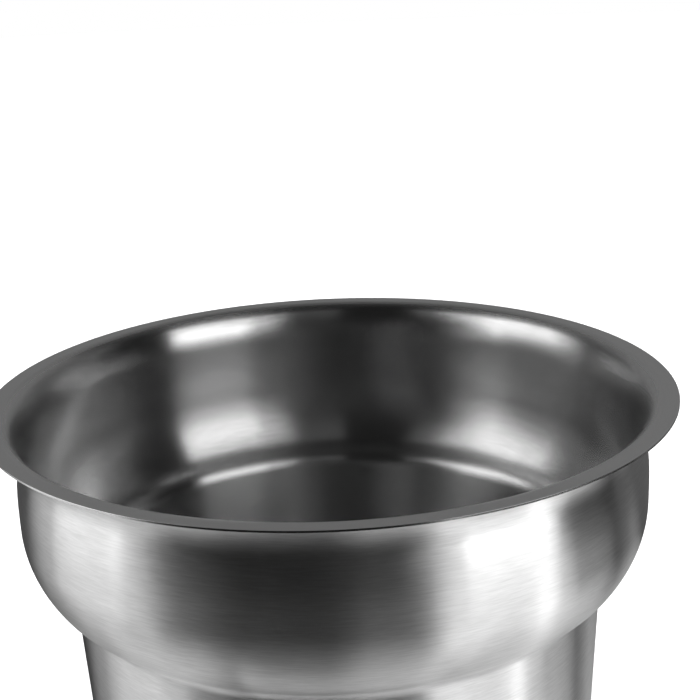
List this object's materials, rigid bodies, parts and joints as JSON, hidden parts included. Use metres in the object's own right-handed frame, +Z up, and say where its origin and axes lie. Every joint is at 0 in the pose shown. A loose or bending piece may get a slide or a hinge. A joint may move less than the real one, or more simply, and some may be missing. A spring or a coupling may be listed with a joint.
{
  "type": "soup kettle inset pot",
  "caption": "Round stainless steel inset pot for a soup kettle: thin outward flange, wide belled upper bowl, sharp inward step and a narrower, slightly tapered lower pot with a flat base.",
  "frame": {"origin": "centre of the underside of the base, where the pot stands on a table", "axes": "+Z up along the pot's axis from the base to the open mouth; the pot is round, so X and Y are free"},
  "size_m": [0.286, 0.286, 0.213],
  "materials": {
    "brushed_steel": "brushed"
  },
  "bodies": {
    "root": {"inset_pot": "brushed_steel"}
  },
  "joints": []
}
